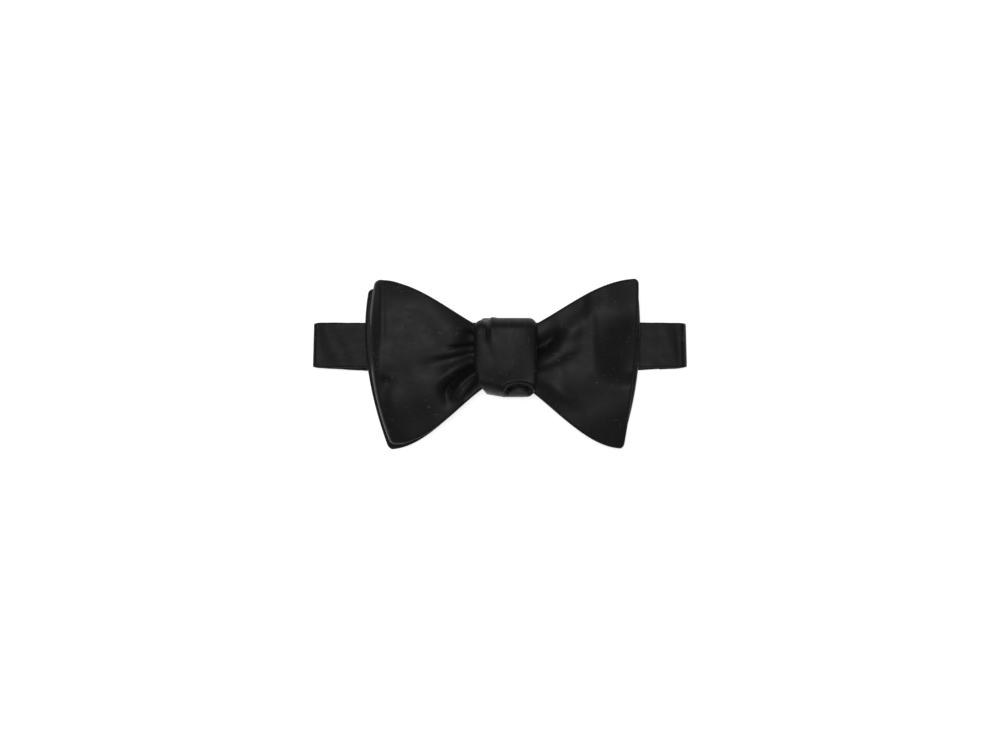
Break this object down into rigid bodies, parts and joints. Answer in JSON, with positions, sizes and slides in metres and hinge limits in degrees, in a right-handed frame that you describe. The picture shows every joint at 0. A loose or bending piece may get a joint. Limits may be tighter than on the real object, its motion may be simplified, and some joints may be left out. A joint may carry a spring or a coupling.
{
  "type": "bow tie",
  "caption": "Black silk bow tie, knotted in a butterfly shape, on a flat folded neckband with a hook, an eye and a slide adjuster.",
  "frame": {"origin": "under the middle of the whole object, on the table it lies on", "axes": "+X along the bow to the wearer's left (the viewer's right), +Y towards the wearer's chin, +Z out of the bow's front"},
  "size_m": [0.1634, 0.0751, 0.0219],
  "materials": {
    "silk": "black slubbed silk, low lustre",
    "interlining": "undyed wool and cotton interlining",
    "thread": "black silk sewing thread",
    "fitting_nickel": "nickel plate, polished"
  },
  "bodies": {
    "bow": {"front_blade_outer_panel": "silk", "front_blade_inner_panel": "silk", "front_blade_interlining": "interlining", "rear_blade_outer_panel": "silk", "rear_blade_inner_panel": "silk", "rear_blade_interlining": "interlining", "knot_wrap": "silk", "knot_wrap_interlining": "interlining", "waist_binding_thread": "thread", "knot_wrap_stitches": "thread", "neckband_cover": "silk", "neckband_interlining": "interlining", "left_band_fold": "silk", "right_band_fold": "silk"},
    "hook_strap": {"hook_strap_cover": "silk", "hook_strap_interlining": "interlining", "hook_keeper_loop": "silk", "hook_bartack": "thread"},
    "hook": {"hook": "fitting_nickel"},
    "adjuster_strap": {"adjuster_main_run": "silk", "adjuster_interlining": "interlining"},
    "adjuster_loop": {"adjuster_eye_turn": "silk", "adjuster_return_run": "silk"},
    "slider": {"slider": "fitting_nickel", "slider_strap_end": "silk"},
    "eye": {"eye": "fitting_nickel"}
  },
  "joints": [
    {"name": "left_strap_fold", "type": "hinge", "parent": "bow", "child": "hook_strap", "pos_m": [-0.07975, 0.0084, 0.00695], "axis": [0.0262, 0.9997, 0], "range_deg": [0, 180], "deforming": ["left_band_fold"]},
    {"name": "hook_swing", "type": "hinge", "parent": "hook_strap", "child": "hook", "pos_m": [-0.05578, 0.00714, 0.00595], "axis": [0.0523, 0.9986, 0], "range_deg": [-4, 90]},
    {"name": "right_strap_fold", "type": "hinge", "parent": "bow", "child": "adjuster_strap", "pos_m": [0.0784, 0.0084, 0.0056], "axis": [0.0262, -0.9997, 0], "range_deg": [0, 180], "deforming": ["right_band_fold"]},
    {"name": "loop_extend", "type": "slide", "parent": "adjuster_strap", "child": "adjuster_loop", "axis": [-0.9986, -0.0523, 0], "range_m": [0, 0.075], "deforming": ["adjuster_main_run"]},
    {"name": "slider_travel", "type": "slide", "parent": "adjuster_loop", "child": "slider", "axis": [-0.9986, -0.0523, 0], "range_m": [0, 0.075], "deforming": ["adjuster_return_run"]},
    {"name": "eye_swing", "type": "hinge", "parent": "adjuster_loop", "child": "eye", "pos_m": [-0.03295, 0.00257, 0.00195], "axis": [0.0523, -0.9986, 0], "range_deg": [-25, 90]}
  ],
  "couplings": [
    {"joint": "slider_travel", "follows": "loop_extend", "ratio": 1}
  ]
}
